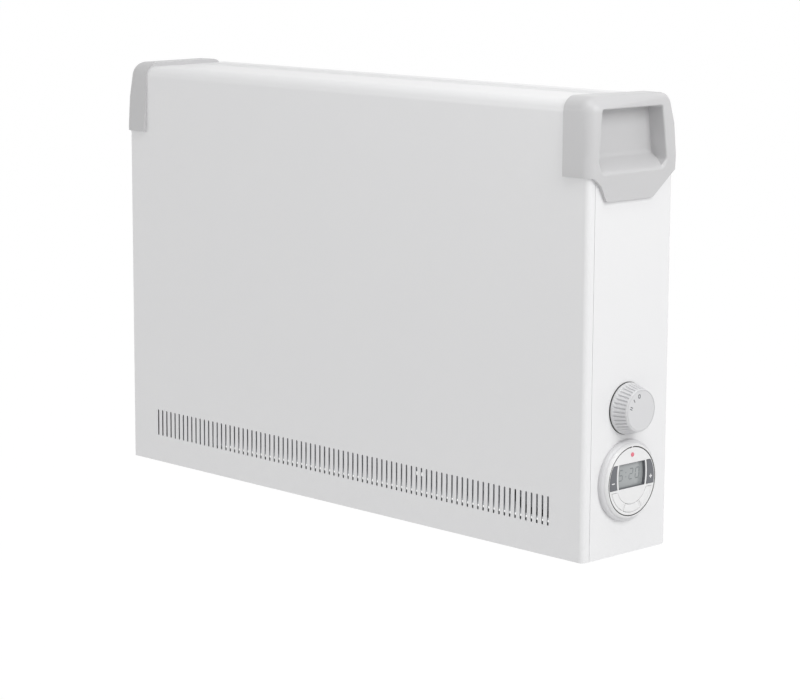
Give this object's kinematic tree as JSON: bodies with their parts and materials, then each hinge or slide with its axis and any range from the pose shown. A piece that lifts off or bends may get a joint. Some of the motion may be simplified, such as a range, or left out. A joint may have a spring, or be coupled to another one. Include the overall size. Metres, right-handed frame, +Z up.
{
  "type": "wall convector heater",
  "caption": "Slim slotted steel wall convector heater with moulded handle caps, a selector knob and a round push-key timer on its right end.",
  "frame": {"origin": "on the wall plane, in the middle of the four wall screws of the bracket", "axes": "+X along the wall to the end with the controls, -Y out of the wall into the room, +Z up"},
  "size_m": [0.6984, 0.1237, 0.4419],
  "materials": {
    "white_enamel": "satin",
    "grey_plastic": "satin",
    "white_plastic": "satin",
    "key_plastic": "matt",
    "display": "glossy",
    "lamp": "glossy",
    "plated_steel": "zinc plated",
    "aluminium": "mill",
    "brass": "plain",
    "ceramic": "matt",
    "black_rubber": "matt",
    "red_lead": "matt",
    "blue_lead": "matt",
    "board": "satin"
  },
  "bodies": {
    "heater": {"front_casing": "white_enamel", "left_end_panel": "white_enamel", "right_end_panel": "white_enamel", "back_panel": "plated_steel", "bottom_grille": "plated_steel", "left_handle_cap": "grey_plastic", "right_handle_cap": "grey_plastic", "left_partition": "plated_steel", "right_partition": "plated_steel", "heat_baffle": "plated_steel", "front_element": "aluminium", "rear_element": "aluminium", "element_bushes": "ceramic", "element_link": "brass", "thermal_cutout": "brass", "terminal_block": "ceramic", "earth_stud": "brass", "cable_gland": "black_rubber", "gland_nut": "black_rubber", "lead_grommet": "black_rubber", "mains_lead_inside": "black_rubber", "element_leads": "red_lead", "control_leads": "blue_lead", "selector_switch": "white_plastic", "switch_nut": "brass", "timer_trim_ring": "grey_plastic", "timer_front_ring": "white_plastic", "timer_face": "white_plastic", "timer_case": "white_plastic", "timer_board": "board", "timer_display": "display", "status_lamp": "lamp", "key_switches": "black_rubber", "timer_relay": "black_rubber", "wall_bracket": "plated_steel", "casing_screws": "plated_steel", "partition_screws": "plated_steel", "cap_screws": "plated_steel"},
    "knob": {"selector_knob": "grey_plastic", "selector_spindle": "brass"},
    "minus_key": {"minus_key": "key_plastic"},
    "plus_key": {"plus_key": "key_plastic"},
    "left_arc_key": {"left_arc_key": "white_plastic"},
    "middle_arc_key": {"middle_arc_key": "white_plastic"},
    "right_arc_key": {"right_arc_key": "white_plastic"}
  },
  "joints": [
    {"name": "knob_turn", "type": "hinge", "parent": "heater", "child": "knob", "pos_m": [0.338, -0.06, -0.0675], "axis": [-1, 0, 0], "range_deg": [0, 72]},
    {"name": "minus_push", "type": "slide", "parent": "heater", "child": "minus_key", "axis": [-1, 0, 0], "range_m": [0, 0.0006], "stiffness_N_per_m": 900},
    {"name": "plus_push", "type": "slide", "parent": "heater", "child": "plus_key", "axis": [-1, 0, 0], "range_m": [0, 0.0006], "stiffness_N_per_m": 900},
    {"name": "left_arc_push", "type": "slide", "parent": "heater", "child": "left_arc_key", "axis": [-1, 0, 0], "range_m": [0, 0.0006], "stiffness_N_per_m": 900},
    {"name": "middle_arc_push", "type": "slide", "parent": "heater", "child": "middle_arc_key", "axis": [-1, 0, 0], "range_m": [0, 0.0006], "stiffness_N_per_m": 900},
    {"name": "right_arc_push", "type": "slide", "parent": "heater", "child": "right_arc_key", "axis": [-1, 0, 0], "range_m": [0, 0.0006], "stiffness_N_per_m": 900}
  ]
}
